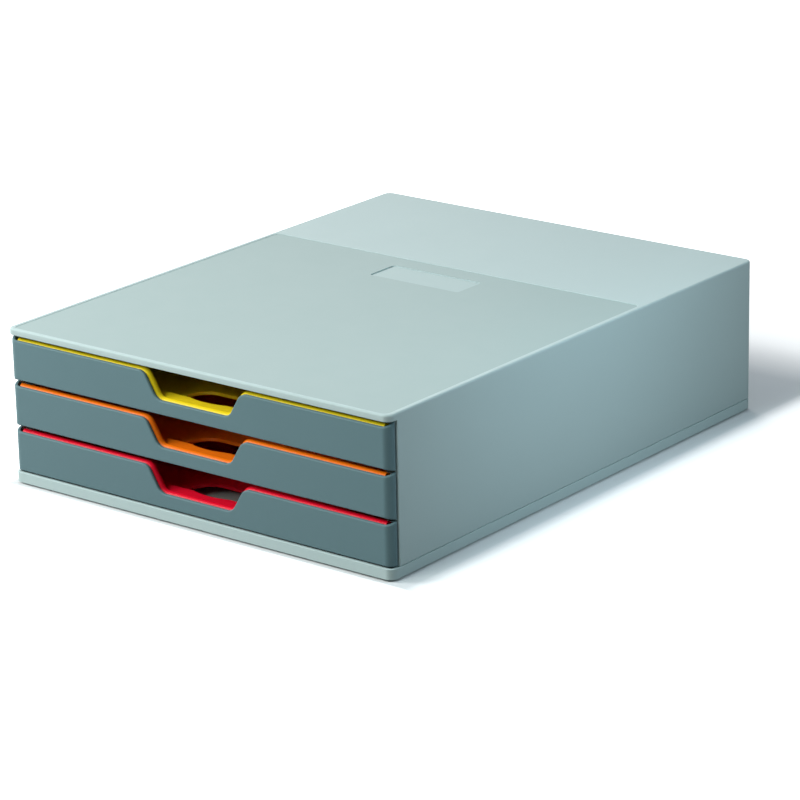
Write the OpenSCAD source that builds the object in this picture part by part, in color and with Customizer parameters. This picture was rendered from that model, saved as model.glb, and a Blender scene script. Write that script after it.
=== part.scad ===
// Desk box with three sliding drawers.
// X runs across the front, Y runs from the front to the back, Z is up from the desk.
// The origin is at the middle of the footprint, on the surface the feet stand on.

/* [Housing] */
// Width of the housing
body_w = 280; // [250:1:340]
// Depth of the housing, front to back
body_d = 356; // [330:1:420]
// Wall thickness of the housing and of the base rim
wall = 2.5; // [2:0.1:3.5]
// Radius of the four upright corners
corner_r = 5; // [4:0.5:9]
// Radius of the rounded edge around the top
edge_r = 1.3; // [0.6:0.1:2]
// How far the top and the base reach in front of the side walls
overhang = 7; // [6:0.5:10]
// Height of the band along the front of the top
fascia_h = 4; // [3.4:0.1:7]

/* [Top recess] */
// Depth of the shallow recess in the top
recess_depth = 0.8; // [0.4:0.1:1.2]
// Width of the lip at the front and the sides of the recess
lip_w = 3.5; // [3:0.5:8]
// Length of the recess, front to back
recess_len = 236.5; // [150:0.5:280]
// Corner radius of the recess
recess_r = 3.5; // [2:0.5:10]
// Thickness of the top under the recess
top_t = 2.5; // [2.2:0.1:3]
// Length of the badge plate across the top
badge_w = 65; // [40:1:90]
// Width of the badge plate, front to back
badge_d = 23; // [14:1:40]
// Thickness of the badge plate
badge_t = 0.6; // [0.4:0.1:0.8]
// Depth of the pocket that holds the badge plate
badge_pocket = 1; // [0.9:0.1:1.4]
// Gap at each end of the badge plate
badge_gap = 0.5; // [0.2:0.1:1.2]
// Distance from the back edge of the recess to the badge pocket
badge_setback = 15; // [5:1:60]

/* [Base] */
// Height that the feet lift the base off the desk
foot_h = 1.2; // [0.8:0.1:4]
// Diameter of a foot
foot_d = 14; // [10:1:24]
// Depth of the pocket that holds a foot
foot_pocket = 1; // [0.6:0.1:1.2]
// Distance from the outer faces to the middle of a foot
foot_inset = 20; // [16:1:40]
// Height of the base rim
base_h = 6.2; // [5:0.1:12]
// Floor thickness of the base
base_t = 2.5; // [2.2:0.1:3.5]
// Radius of the rounded lower edge of the base
base_edge_r = 2; // [1:0.1:2.4]
// Height of the shadow gap between the base and the housing
seam = 0.4; // [0.2:0.1:0.8]
// Shank diameter of a base screw
screw_d = 2.8; // [2.5:0.1:3.2]
// Head diameter of a base screw
screw_head_d = 5.4; // [5:0.1:6]
// Length of a base screw under its head
screw_len = 9; // [7:0.5:12]

/* [Drawers] */
// Height from one drawer to the next
pitch = 27.8; // [26:0.2:50]
// Height of the gap over a drawer front, up to the next one
front_gap = 4.1; // [3.6:0.1:6]
// Gap between the base rim and the lowest drawer front
base_gap = 1; // [0.6:0.1:2]
// Gap between the top drawer front and the band over it
top_gap = 3.3; // [2.6:0.1:6]
// How far the drawers slide out
travel = 260; // [150:1:270]
// Thickness of a drawer front
front_t = 2; // [1.6:0.1:2.6]
// Distance from the ends of a drawer front to the outer sides
front_inset = 0.8; // [0.4:0.1:1.6]
// Distance of a drawer front behind the band over it
front_setback = 0.5; // [0.2:0.1:1.5]
// Gap between a drawer front's rounded ends and the side walls behind them
end_gap = 0.5; // [0.3:0.1:1.2]

/* [Handle notch] */
// Width of the notch at the upper edge
notch_top_w = 71.2; // [60:0.2:110]
// Width of the notch at its floor
notch_floor_w = 52.8; // [40:0.2:58]
// Depth of the notch
notch_depth = 15.3; // [12:0.1:16]
// Radius of the four corners of the notch
notch_r = 6.5; // [6:0.1:7.5]
// Depth of the finger ledge behind the notch
ledge_d = 6; // [5:0.5:12]
// Depth of the round bite in the back of the finger ledge
bite_depth = 2.2; // [1:0.1:3]
// Width of the round bite in the finger ledge
bite_w = 26; // [16:1:40]
// Width of the finger hole in the tray floor
hole_w = 56; // [40:1:80]
// Length of the finger hole, front to back
hole_len = 28; // [20:1:50]
// Corner radius of the finger hole
hole_r = 12; // [6:0.5:13]

/* [Trays] */
// Wall thickness of a tray
tray_wall = 1.6; // [1.4:0.1:2]
// Floor thickness of a tray
tray_floor = 2; // [1.6:0.1:3]
// Height of a tray's floor above the lower edge of its front
floor_lift = 1; // [0.6:0.1:3]
// Radius of the rounded rim along the front of a tray
bead_r = 2.5; // [2.2:0.1:3]
// Height of the rim above the upper edge of the drawer front
bead_rise = 0.5; // [0:0.1:1.2]
// Distance from the upper edge of the front down to the side flanges
flange_drop = 2.7; // [2.2:0.1:6]
// Thickness of the side flanges
flange_t = 2; // [1.6:0.1:3]
// Gap behind a closed tray
rear_gap = 5; // [3:0.5:20]

/* [Rails] */
// Thickness of a rail's back
rail_t = 2; // [1.6:0.1:3]
// Width of a rail's shelf
shelf_w = 7; // [6:0.5:9]
// Thickness of a rail's shelf and lip
shelf_t = 2; // [1.6:0.1:2.4]
// Clearance under a flange, where it rests on its shelf
slide_gap = 0.3; // [0.2:0.05:0.6]
// Clearance over a flange
lift_gap = 0.5; // [0.3:0.1:0.8]
// Side clearance of a tray in its rails
side_play = 1.2; // [0.8:0.1:1.5]
// How far a stop reaches over the flange's ear
stop_bite = 1.5; // [1:0.1:2]
// Length of a stop and of an ear
stop_len = 8; // [4:0.5:12]

/* [Hidden] */
$fn = 48;

// Clearance where one piece is dropped into another
fit = 0.1;
// Extra length of a cut past the face that it opens
over = 1;
// A bend is this much fuller than the pieces whose ends it holds
lap = 0.02;

drawers = 3;
front_y = -body_d / 2;
back_y = body_d / 2;

// Heights of the base and of the drawer stack
base_top = foot_h + base_h;
shell_z = base_top + seam;
first_z = base_top + base_gap;
front_h = pitch - front_gap;
body_h = first_z + (drawers - 1) * pitch + front_h + top_gap + fascia_h;
ceiling_z = body_h - recess_depth - top_t;

// Insides of the housing
inner_x = body_w / 2 - wall;
inner_back = back_y - wall;
wall_front = front_y + overhang;

// Middle of the badge, and the radius of its corners
badge_y = front_y + lip_w + recess_len - badge_setback - badge_d / 2;
badge_r = 1.7;

// The skirt of the shell that stands on the base floor, inside the rim
skirt_t = 0.6 * wall;
skirt_fit = 0.2;
skirt_top = shell_z + skirt_t;

// Screw posts along both sides: their radius, their hold in the skirt and their plastic over a screw
post_r = 3.5;
post_hold = 0.4;
post_cap = 3;
post_h = screw_len + post_cap;
post_x = inner_x - skirt_t - post_r + post_hold;
post_step = body_d * 0.35;
rib_t = 2;
floor_z = foot_h + base_t;
// A screw's head: its height, its clearance and the size of its cross slot
head_h = 1.4;
head_fit = 0.4;
slot_w = 0.7;
slot_l = 3.2;
slot_h = 0.7;
// Bevel around the lower edge of a foot
foot_bevel = 0.5;

// Drawer front and tray, measured from the front backwards
panel_y = front_y + front_setback;
tray_y = panel_y + front_t;
bead_y = tray_y + bead_r + lap;
rim_back = bead_y + bead_r + lap;
ledge_back = rim_back + ledge_d;
tray_mid = tray_y + tray_wall / 2;
front_end = wall_front - end_gap;
tray_back = inner_back - rear_gap;

// Half widths, from the side wall inwards
rail_x = inner_x - rail_t;
ear_x = rail_x - side_play;
flange_x = ear_x - stop_bite;
stop_x = flange_x + side_play / 2;
shelf_x = rail_x - shelf_w;
lip_set = 2;
lip_x = shelf_x + lip_set;
tray_gap = 1.6;
tray_x = shelf_x - tray_gap;
panel_x = body_w / 2 - front_inset;

// Heights inside one drawer, from the lower edge of its front
tray_floor_top = floor_lift + tray_floor;
flange_top = front_h - flange_drop;
flange_z = flange_top - flange_t;
shelf_top = flange_z - slide_gap;
rail_z = shelf_top - shelf_t;
rail_top = flange_top + lift_gap + shelf_t;
bead_z = front_h + bead_rise - bead_r;

// Rails, their stops, and the pins that end inside the rail's back
rail_set = 1;
rail_front = max(rim_back, wall_front) + rail_set;
rail_back = inner_back;
stop_set = 2;
stop_y = rail_front + stop_set;
ear_y = stop_y + stop_len + travel + slide_gap;
pin_d = 5;
pin_short = 0.5;

// Pins that hold a drawer front to its tray
rivet_d = 4;
rivet_head_d = 6;
rivet_head_h = 0.8;
rivet_z = front_h * 0.32;
rivet_far = 0.85 * panel_x;
rivet_near = notch_top_w / 2 + 27;
rivet_places = [-rivet_far, -rivet_near, rivet_near, rivet_far];

// Handle notch: the slope of its sides, the height of its floor, the centres of its round corners
notch_a = atan2(notch_depth, (notch_top_w - notch_floor_w) / 2);
notch_k = tan(notch_a / 2);
notch_z = front_h - notch_depth;
round_top = [notch_top_w / 2 + notch_r * notch_k, front_h - notch_r];
round_floor = [notch_floor_w / 2 - notch_r * notch_k, notch_z + notch_r];

// The rim follows the notch at this distance; below zero is inside the front
bead_n = bead_rise - bead_r;
// Lengths of the rim's rear and front legs, and of the end that a bend holds
leg_h = 2.4;
front_leg_h = 0.6;
held = 0.1;
// The finger ledge: its step below the rim, its half width and where it starts in the rim
ledge_step = 0.6;
ledge_top = notch_z + bead_rise - ledge_step;
ledge_side = 2;
ledge_x = notch_floor_w / 2 + ledge_side;
ledge_front = bead_y + bead_r - 0.8 * tray_wall;
bite_r = (bite_w * bite_w / 4 + bite_depth * bite_depth) / (2 * bite_depth);

function drawer_z(i) = first_z + i * pitch;

module both_sides() {
    children();
    mirror([1, 0, 0]) children();
}

// A plate drawn in X and Z that lies between two depths
module upright(y0, y1) {
    translate([0, y1, 0]) rotate([90, 0, 0]) linear_extrude(y1 - y0) children();
}

// A rectangle between two corners
module span(x0, y0, x1, y1) {
    translate([x0, y0]) square([x1 - x0, y1 - y0]);
}

// A block between two corners
module block(x0, x1, y0, y1, z0, z1) {
    translate([x0, y0, z0]) cube([x1 - x0, y1 - y0, z1 - z0]);
}

// A rectangle with round corners, centred
module round_plan(w, d, r) {
    square([w - 2 * r, d], center = true);
    square([w, d - 2 * r], center = true);
    for (x = [-1, 1], y = [-1, 1]) translate([x * (w / 2 - r), y * (d / 2 - r)]) circle(r);
}

// Half of a section with a round upper and a round lower edge
module edge_section(half, h, top_r, low_r) {
    translate([0, low_r]) square([half, h - top_r - low_r]);
    square([half - low_r, h / 2]);
    translate([0, h / 2]) square([half - top_r, h / 2]);
    if (top_r > 0) translate([half - top_r, h - top_r]) circle(top_r);
    if (low_r > 0) translate([half - low_r, low_r]) circle(low_r);
}

// A centred block with round upright corners and round upper or lower edges
module round_block(w, d, h, r, top_r, low_r) {
    rotate([90, 0, 0]) linear_extrude(d - 2 * r, center = true) {
        edge_section(w / 2, h, top_r, low_r);
        mirror([1, 0]) edge_section(w / 2, h, top_r, low_r);
    }
    rotate([90, 0, 90]) linear_extrude(w - 2 * r, center = true) {
        edge_section(d / 2, h, top_r, low_r);
        mirror([1, 0]) edge_section(d / 2, h, top_r, low_r);
    }
    for (q = [0:3]) {
        x = (q == 0 || q == 3) ? 1 : -1;
        y = q < 2 ? 1 : -1;
        translate([x * (w / 2 - r), y * (d / 2 - r), 0]) rotate([0, 0, 90 * q])
            rotate_extrude(angle = 90) edge_section(r, h, top_r, low_r);
    }
}

// Places of the screws along one side
module screw_places() {
    for (i = [-1:1]) translate([post_x, i * post_step, 0]) children();
}

// The skirt in plan, open at the front, with its outer face held in by inset
module skirt_plan(inset) {
    difference() {
        span(-inner_x + inset, wall_front, inner_x - inset, inner_back - inset);
        span(-inner_x + skirt_t, wall_front - over, inner_x - skirt_t, inner_back - skirt_t);
    }
}

module housing_shell() {
    color("#c3d8d8") difference() {
        union() {
            difference() {
                translate([0, 0, shell_z])
                    round_block(body_w, body_d, body_h - shell_z, corner_r, edge_r, 0);
                // Open front under the band
                block(-body_w, body_w, front_y - over, wall_front, shell_z - over, body_h - fascia_h);
                // Inside, open below
                block(-inner_x, inner_x, front_y + wall, inner_back, shell_z - over, ceiling_z);
            }
            translate([0, 0, floor_z]) linear_extrude(shell_z - floor_z) skirt_plan(skirt_fit);
            translate([0, 0, shell_z]) linear_extrude(skirt_top - shell_z) skirt_plan(0);
            both_sides() screw_places() {
                translate([0, 0, floor_z]) cylinder(r = post_r, h = post_h);
                block(0, inner_x - post_x, -rib_t / 2, rib_t / 2, shell_z, floor_z + post_h);
            }
            for (i = [0:drawers - 1]) both_sides() rail_pins(i, pin_d, rail_x + pin_short, inner_x + fit);
        }
        // Recess in the top, with its badge pocket
        translate([0, front_y + lip_w + recess_len / 2, body_h - recess_depth])
            linear_extrude(recess_depth + over) round_plan(body_w - 2 * lip_w, recess_len, recess_r);
        translate([0, badge_y, body_h - recess_depth - badge_pocket])
            linear_extrude(badge_pocket + over)
                round_plan(badge_w + 2 * badge_gap, badge_d + badge_gap, badge_r + badge_gap / 4);
        // Pilot holes for the base screws
        both_sides() screw_places() translate([0, 0, floor_z - over])
            cylinder(d = screw_d + fit, h = screw_len + 2 * over);
    }
}

module badge_plate() {
    color("#cbdcdb") translate([0, badge_y, body_h - recess_depth - badge_pocket])
        linear_extrude(badge_t) round_plan(badge_w, badge_d, badge_r);
}

module base_plate() {
    color("#b9d0cf") difference() {
        translate([0, 0, foot_h]) round_block(body_w, body_d, base_h, corner_r, 0, base_edge_r);
        // The hollow inside the rim
        block(-inner_x, inner_x, front_y + wall, inner_back, floor_z, base_top + over);
        // Pockets for the feet
        for (x = [-1, 1], y = [-1, 1])
            translate([x * (body_w / 2 - foot_inset), y * (body_d / 2 - foot_inset), foot_h - over])
                cylinder(d = foot_d + 2 * fit, h = foot_pocket + over);
        // Holes and sunk seats for the screws
        both_sides() screw_places() {
            translate([0, 0, foot_h - over]) cylinder(d = screw_head_d + head_fit, h = head_h + over);
            translate([0, 0, foot_h - over]) cylinder(d = screw_d + 2 * fit, h = base_t + 2 * over);
        }
    }
}

module base_screws() {
    color("#8d9292") both_sides() screw_places() translate([0, 0, foot_h]) {
        difference() {
            cylinder(d = screw_head_d, h = head_h);
            for (a = [0, 90]) rotate([0, 0, a])
                block(-slot_l / 2, slot_l / 2, -slot_w / 2, slot_w / 2, -over, slot_h);
        }
        translate([0, 0, head_h]) cylinder(d = screw_d, h = screw_len);
    }
}

module foot(x, y) {
    color("#3a3d3e") translate([x * (body_w / 2 - foot_inset), y * (body_d / 2 - foot_inset), 0])
        rotate_extrude() polygon([
            [0, 0], [foot_d / 2 - foot_bevel, 0], [foot_d / 2, foot_bevel],
            [foot_d / 2, foot_h + foot_pocket], [0, foot_h + foot_pocket]
        ]);
}

// The pins of the housing wall that rail i is set on, between two distances from the middle
module rail_pins(i, d, x0, x1) {
    z = drawer_z(i) + (rail_z + rail_top) / 2;
    for (t = [0.2, 0.8]) translate([x0, rail_front + t * (rail_back - rail_front), z])
        rotate([0, 90, 0]) cylinder(d = d, h = x1 - x0);
}

// Right-hand rail of drawer i: a back, a shelf under the flange, a lip over it and the stop
module rail(i) {
    color("#9fb0b2") difference() {
        translate([0, 0, drawer_z(i)]) {
            block(rail_x, inner_x, rail_front, rail_back, rail_z, rail_top);
            block(shelf_x, inner_x, rail_front, rail_back, rail_z, shelf_top);
            block(lip_x, inner_x, rail_front, rail_back, rail_top - shelf_t, rail_top);
            block(stop_x, inner_x, stop_y, stop_y + stop_len, rail_z, rail_top);
        }
        rail_pins(i, pin_d + 2 * fit, shelf_x - over, inner_x + over);
    }
}

// The handle notch as an open shape in X and Z, moved into the notch by n
module notch(n) {
    top = [notch_top_w / 2 - n * notch_k, front_h + n];
    side = [-sin(notch_a), cos(notch_a)];
    top_r = notch_r + n;
    low_r = notch_r - n;
    t1 = [round_top[0], front_h + n];
    t2 = round_top + top_r * side;
    b1 = round_floor - low_r * side;
    b2 = [round_floor[0], notch_z + n];
    up = front_h + 2 * bead_r;
    both_sides() {
        polygon([[-1, up], [top[0], up], top, b1, b2, [-1, b2[1]]]);
        translate(round_floor) circle(low_r);
        difference() {
            polygon([t1, [t1[0], up], [0, up], top, t2]);
            translate(round_top) circle(top_r);
        }
    }
}

// Section of the rim across its run: x is the height over the arch's centre, y the depth
module rim_section(more = 0) {
    outer = bead_r + more;
    inner = bead_r - tray_wall - more;
    difference() {
        circle(outer);
        circle(inner);
        span(-2 * outer, -2 * outer, 0, 2 * outer);
    }
    span(-leg_h - more, inner, 0, outer);
    span(-front_leg_h - more, -outer, 0, -inner);
}

// A straight piece of the rim that starts at p, turned down by a, and runs for len
module rim_run(p, a, len) {
    translate([p[0], bead_y, p[1]]) rotate([0, -a - 90, 0]) translate([0, 0, -held])
        linear_extrude(len + 2 * held) rim_section();
}

// A bend of the rim about c, over notch_a from the angle a
module rim_bend(c, a) {
    translate([c[0], bead_y, c[1]]) rotate([-90, 0, 0]) rotate([0, 0, -a])
        rotate_extrude(angle = -notch_a) children();
}

// The whole rounded rim along the front of a tray and around the notch
module rim() {
    side = [-sin(notch_a), cos(notch_a)];
    top_r = notch_r + bead_n;
    low_r = notch_r - bead_n;
    t2 = round_top + top_r * side;
    b1 = round_floor - low_r * side;
    both_sides() {
        rim_run([ear_x - held, bead_z], 0, ear_x - held - round_top[0]);
        rim_bend(round_top, 90) translate([top_r, 0]) rim_section(lap);
        rim_run(t2, notch_a, norm(t2 - b1));
        rim_bend(round_floor, -90) translate([low_r, 0]) mirror([1, 0]) rim_section(lap);
    }
    rim_run([round_floor[0], notch_z + bead_n], 0, 2 * round_floor[0]);
}

// The finger ledge in plan, with its rear edge held in by inset
module ledge_plan(inset) {
    difference() {
        span(-ledge_x, ledge_front, ledge_x, ledge_back - inset);
        translate([0, ledge_back - inset - bite_depth + bite_r]) circle(bite_r, $fn = 120);
    }
}

// The finger ledge behind the notch: a flat top on a closed front, open below
module finger_ledge() {
    translate([0, 0, ledge_top - tray_wall]) linear_extrude(tray_wall) ledge_plan(0);
    translate([0, 0, floor_lift]) linear_extrude(ledge_top - floor_lift) difference() {
        ledge_plan(0);
        ledge_plan(tray_wall);
    }
    both_sides() block(ledge_x - tray_wall, ledge_x, tray_mid, ledge_back, floor_lift, ledge_top);
}

// Outline of the finger hole in plan
module hole_plan() {
    difference() {
        translate([0, ledge_back + hole_len / 2 - hole_r])
            round_plan(hole_w, hole_len + 2 * hole_r, hole_r);
        ledge_plan(0);
        span(-hole_w, front_y, hole_w, ledge_back - bite_depth);
    }
}

// One tray: front wall with the rim, floor, walls, sliding flanges and their ears
module tray(i, shade) {
    color(shade) translate([0, 0, drawer_z(i)]) difference() {
        union() {
            upright(tray_y + 2 * lap, tray_y + tray_wall) difference() {
                span(-ear_x, floor_lift, ear_x, bead_z - held);
                notch(bead_n - held);
            }
            rim();
            difference() {
                block(-tray_x, tray_x, tray_mid, tray_back, floor_lift, flange_top);
                block(-tray_x + tray_wall, tray_x - tray_wall, tray_y - over, tray_back - tray_wall,
                    tray_floor_top, flange_top + over);
            }
            finger_ledge();
            both_sides() {
                block(tray_x - tray_wall, flange_x, tray_mid, tray_back, flange_z, flange_top);
                block(tray_x, ear_x, ear_y, ear_y + stop_len, flange_z, flange_top);
            }
        }
        translate([0, 0, floor_lift - over]) linear_extrude(tray_floor + 2 * over) hole_plan();
        for (x = rivet_places) translate([x, tray_y - over, rivet_z])
            rotate([-90, 0, 0]) cylinder(d = rivet_d + 2 * fit, h = tray_wall + 2 * over);
    }
}

// One drawer front with its rounded ends, its notch and the pins that hold it to the tray
module front(i) {
    color("#6b878b") translate([0, 0, drawer_z(i)]) {
        difference() {
            linear_extrude(front_h) difference() {
                translate([0, panel_y + body_w / 2]) round_plan(2 * panel_x, body_w, corner_r);
                translate([0, panel_y + front_t + body_w / 2])
                    round_plan(2 * (panel_x - front_t), body_w, corner_r - front_t);
                span(-body_w, front_end, body_w, panel_y + 2 * body_w);
            }
            upright(panel_y - over, tray_y + over) notch(0);
        }
        for (x = rivet_places) translate([x, tray_y, rivet_z]) rotate([-90, 0, 0]) {
            cylinder(d = rivet_d, h = tray_wall);
            translate([0, 0, tray_wall]) cylinder(d = rivet_head_d, h = rivet_head_h);
        }
    }
}

housing_shell();
base_plate();
badge_plate();
base_screws();
foot(-1, -1);  // foot_front_left
foot(1, -1);  // foot_front_right
foot(-1, 1);  // foot_rear_left
foot(1, 1);  // foot_rear_right
mirror([1, 0, 0]) rail(0);  // rail_left_lower
mirror([1, 0, 0]) rail(1);  // rail_left_middle
mirror([1, 0, 0]) rail(2);  // rail_left_upper
rail(0);  // rail_right_lower
rail(1);  // rail_right_middle
rail(2);  // rail_right_upper
tray(0, "#dc1630");  // tray_lower
tray(1, "#f47a1c");  // tray_middle
tray(2, "#f4dc2c");  // tray_upper
front(0);  // front_lower
front(1);  // front_middle
front(2);  // front_upper
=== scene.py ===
"""Desk box with three sliding drawers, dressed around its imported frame.

The file is laid out as an add-on and runs as a script. Lengths are in metres:
X runs across the front, Y from the front to the back, Z up from the desk.
"""

import math

import bmesh
import bpy
from bpy.props import FloatProperty, FloatVectorProperty, PointerProperty
from mathutils import Matrix, Vector


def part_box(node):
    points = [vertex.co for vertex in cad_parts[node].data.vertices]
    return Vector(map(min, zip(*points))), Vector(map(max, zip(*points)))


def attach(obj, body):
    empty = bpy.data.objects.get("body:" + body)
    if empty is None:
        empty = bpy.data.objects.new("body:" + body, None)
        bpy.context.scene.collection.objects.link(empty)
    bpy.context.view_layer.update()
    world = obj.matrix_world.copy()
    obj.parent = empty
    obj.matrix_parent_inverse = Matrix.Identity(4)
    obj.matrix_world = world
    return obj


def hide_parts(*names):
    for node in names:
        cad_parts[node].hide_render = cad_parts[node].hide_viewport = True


bl_info = {
    "name": "Desk Box",
    "version": (1, 0, 0),
    "blender": (4, 5, 0),
    "location": "3D View > Sidebar > Desk Box",
    "description": "Makes the pieces and finishes of a desk box with three drawers",
    "category": "Add Mesh",
}

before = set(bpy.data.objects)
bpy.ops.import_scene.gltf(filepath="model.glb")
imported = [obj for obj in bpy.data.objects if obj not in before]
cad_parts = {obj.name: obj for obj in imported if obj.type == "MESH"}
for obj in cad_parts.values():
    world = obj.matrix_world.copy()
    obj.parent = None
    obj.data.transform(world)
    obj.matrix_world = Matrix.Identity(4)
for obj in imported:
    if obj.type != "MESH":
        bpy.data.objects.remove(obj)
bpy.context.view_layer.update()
DRAWERS = ("lower", "middle", "upper")
SHELL_LOW, SHELL_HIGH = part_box("housing_shell")
BASE_LOW, BASE_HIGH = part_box("base_plate")
BADGE_LOW, BADGE_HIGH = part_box("badge_plate")
FRONT_LOW, FRONT_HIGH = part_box("front_lower")
RIGHT, FRONT, BACK = SHELL_HIGH.x, SHELL_LOW.y, SHELL_HIGH.y
FRONT_HEIGHT = FRONT_HIGH.z - FRONT_LOW.z
X, Y, Z = Vector((1, 0, 0)), Vector((0, 1, 0)), Vector((0, 0, 1))

TINY = 1e-6  # Places closer than this are one place
CUT_DISTANCE = 1e-7  # Vertices closer than this to a cut lie on it
NEARLY = 0.999  # Just short of the whole
NUDGE = 0.0001  # Keeps two faces out of one plane
SUNK = 0.0002  # How far pins and ribs reach into what carries them
SHALLOW_SHARE = 0.47  # Radius of the recess's edges, as a share of its depth
SMOOTH_ANGLE = math.radians(40)  # Faces that meet at less are shaded as one surface
HARD_ANGLE = math.radians(50)  # Edges over this angle are rounded
CORNER_STEPS = 10  # Segments in the corners of the plans
SCREW_PLACES = (-0.35, 0, 0.35)  # Shares of the depth, from the middle
PIN_PLACES = (0.2, 0.8)  # Shares of a rail's length, from its front


# Sizes and colours


class DeskBoxSizes(bpy.types.PropertyGroup):
    """Sizes of the housing, its top and its base"""

    wall: FloatProperty(
        name="Wall", description="Thickness of the walls", default=0.0025, unit="LENGTH"
    )
    corner: FloatProperty(
        name="Corner", description="Radius of the upright corners", default=0.005, unit="LENGTH"
    )
    top_edge: FloatProperty(
        name="Top Edge", description="Radius around the top", default=0.0013, unit="LENGTH"
    )
    base_edge: FloatProperty(
        name="Base Edge", description="Radius under the base", default=0.002, unit="LENGTH"
    )
    fine_edge: FloatProperty(
        name="Fine Edge", description="Radius of the small edges", default=0.0003, unit="LENGTH"
    )
    overhang: FloatProperty(
        name="Overhang", description="Top over the side walls", default=0.007, unit="LENGTH"
    )
    band: FloatProperty(
        name="Band", description="Height of the band along the top", default=0.004, unit="LENGTH"
    )
    seam: FloatProperty(
        name="Seam", description="Gap between base and housing", default=0.0004, unit="LENGTH"
    )
    top: FloatProperty(
        name="Top", description="From the top to the hollow", default=0.0033, unit="LENGTH"
    )
    lip: FloatProperty(
        name="Lip", description="Width of the lip around the recess", default=0.0035, unit="LENGTH"
    )
    front_lip: FloatProperty(
        name="Front Lip", description="Width of the lip in front", default=0.002, unit="LENGTH"
    )
    recess_length: FloatProperty(
        name="Recess Length", description="From front to back", default=0.238, unit="LENGTH"
    )
    recess_depth: FloatProperty(
        name="Recess Depth", description="Depth of the recess", default=0.00025, unit="LENGTH"
    )
    pocket_depth: FloatProperty(
        name="Pocket Depth", description="Depth under the badge", default=0.001, unit="LENGTH"
    )
    pocket_gap: FloatProperty(
        name="Pocket Gap", description="Gap at the badge's ends", default=0.0005, unit="LENGTH"
    )


class DeskBoxDrawerSizes(bpy.types.PropertyGroup):
    """Sizes of one drawer front, its notch and its tray"""

    notch_top: FloatProperty(
        name="Notch Top", description="Width at the upper edge", default=0.0712, unit="LENGTH"
    )
    notch_floor: FloatProperty(
        name="Notch Floor", description="Width at its floor", default=0.0528, unit="LENGTH"
    )
    notch_depth: FloatProperty(
        name="Notch Depth", description="Depth of the notch", default=0.0153, unit="LENGTH"
    )
    notch_round: FloatProperty(
        name="Notch Radius", description="Radius of its bends", default=0.0065, unit="LENGTH"
    )
    front_thickness: FloatProperty(
        name="Front", description="Thickness of a front", default=0.002, unit="LENGTH"
    )
    flare: FloatProperty(
        name="Flare", description="Rise of a front's ends", default=0.0019, unit="LENGTH"
    )
    front_edge: FloatProperty(
        name="Front Edge", description="Radius around a front", default=0.0009, unit="LENGTH"
    )
    rim_radius: FloatProperty(
        name="Rim", description="Radius of a tray's rim", default=0.0025, unit="LENGTH"
    )
    rim_rise: FloatProperty(
        name="Rim Rise", description="Rim over the front's edge", default=0.001, unit="LENGTH"
    )
    tray_wall: FloatProperty(
        name="Tray Wall", description="Thickness of a tray's walls", default=0.0016, unit="LENGTH"
    )
    tray_floor: FloatProperty(
        name="Tray Floor", description="Thickness of its floor", default=0.002, unit="LENGTH"
    )
    flange: FloatProperty(
        name="Flange", description="Thickness of a sliding flange", default=0.002, unit="LENGTH"
    )
    ledge: FloatProperty(
        name="Ledge", description="Depth of the finger ledge", default=0.0072, unit="LENGTH"
    )
    bite_width: FloatProperty(
        name="Bite Width", description="Width of the ledge's hollow", default=0.026, unit="LENGTH"
    )
    bite_depth: FloatProperty(
        name="Bite Depth", description="Depth of the ledge's hollow", default=0.0022, unit="LENGTH"
    )
    hole_width: FloatProperty(
        name="Hole Width", description="Finger hole in the floor", default=0.056, unit="LENGTH"
    )
    hole_length: FloatProperty(
        name="Hole Length", description="From the ledge to the back", default=0.028, unit="LENGTH"
    )
    hole_corner: FloatProperty(
        name="Hole Corner", description="Radius of its corners", default=0.012, unit="LENGTH"
    )


def tint(name, text, value):
    """A colour that a user may change."""
    return FloatVectorProperty(
        name=name, description=text, default=value, subtype="COLOR", size=3, min=0, max=1
    )


class DeskBoxColours(bpy.types.PropertyGroup):
    """Colours of the moulded plastics and the small parts"""

    housing: tint("Housing", "Pale cool grey of the housing", (0.53, 0.64, 0.635))
    recess: tint("Recess", "Smooth field in the top", (0.362, 0.475, 0.465))
    base: tint("Base", "Pale cool grey of the base", (0.56, 0.685, 0.68))
    badge: tint("Badge", "Bare badge plate", (0.42, 0.545, 0.54))
    front: tint("Front", "Dark blue-grey of the fronts", (0.14, 0.228, 0.25))
    yellow: tint("Yellow", "Upper tray", (0.97, 0.71, 0.015))
    orange: tint("Orange", "Middle tray", (0.98, 0.19, 0.006))
    red: tint("Red", "Lower tray", (0.84, 0.006, 0.03))
    rail: tint("Rail", "Slippery grey of the rails", (0.35, 0.42, 0.43))
    foot: tint("Foot", "Rubber of the feet", (0.035, 0.036, 0.038))
    screw: tint("Screw", "Zinc plating", (0.62, 0.63, 0.62))


# Node materials


class Term:
    """A value from a node: Python's operators on it add Math nodes."""

    def __init__(self, finish, socket):
        self.finish = finish
        self.socket = socket

    def maths(self, operation, left, right):
        return self.finish.node("ShaderNodeMath", {"operation": operation}, {0: left, 1: right})

    def __add__(self, other):
        return self.maths("ADD", self, other)

    def __radd__(self, other):
        return self.maths("ADD", other, self)

    def __sub__(self, other):
        return self.maths("SUBTRACT", self, other)

    def __rsub__(self, other):
        return self.maths("SUBTRACT", other, self)

    def __mul__(self, other):
        return self.maths("MULTIPLY", self, other)

    def __rmul__(self, other):
        return self.maths("MULTIPLY", other, self)

    def largest(self, other):
        return self.maths("MAXIMUM", self, other)


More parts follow.
